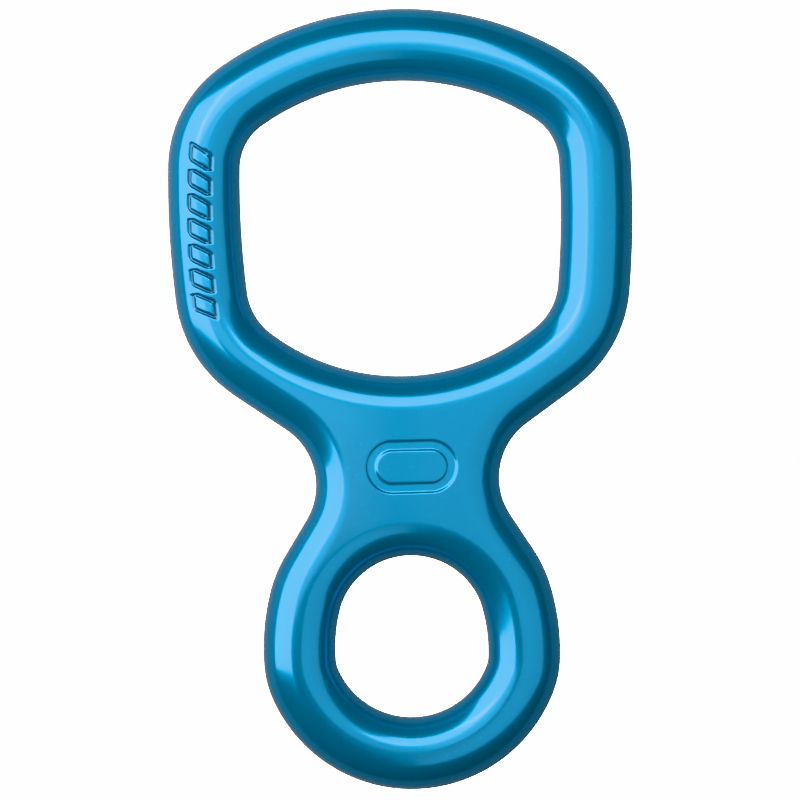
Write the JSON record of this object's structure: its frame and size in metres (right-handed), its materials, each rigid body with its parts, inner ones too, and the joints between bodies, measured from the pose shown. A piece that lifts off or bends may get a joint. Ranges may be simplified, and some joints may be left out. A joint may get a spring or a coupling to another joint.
{
  "type": "belay device",
  "caption": "Figure-eight descender: a large rounded rope eye and a small karabiner eye of round bar, joined by a flat web with a waisted neck.",
  "frame": {"origin": "middle of the underside as the device lies on its back: centre of its length and width, on the plane it rests on", "axes": "+X across the eyes, +Y from the karabiner eye towards the rope eye, +Z out of the front face"},
  "size_m": [0.0738, 0.124, 0.0115],
  "materials": {
    "anodised_aluminium": "satin blue anodised forging"
  },
  "bodies": {
    "root": {"body": "anodised_aluminium"}
  },
  "joints": []
}
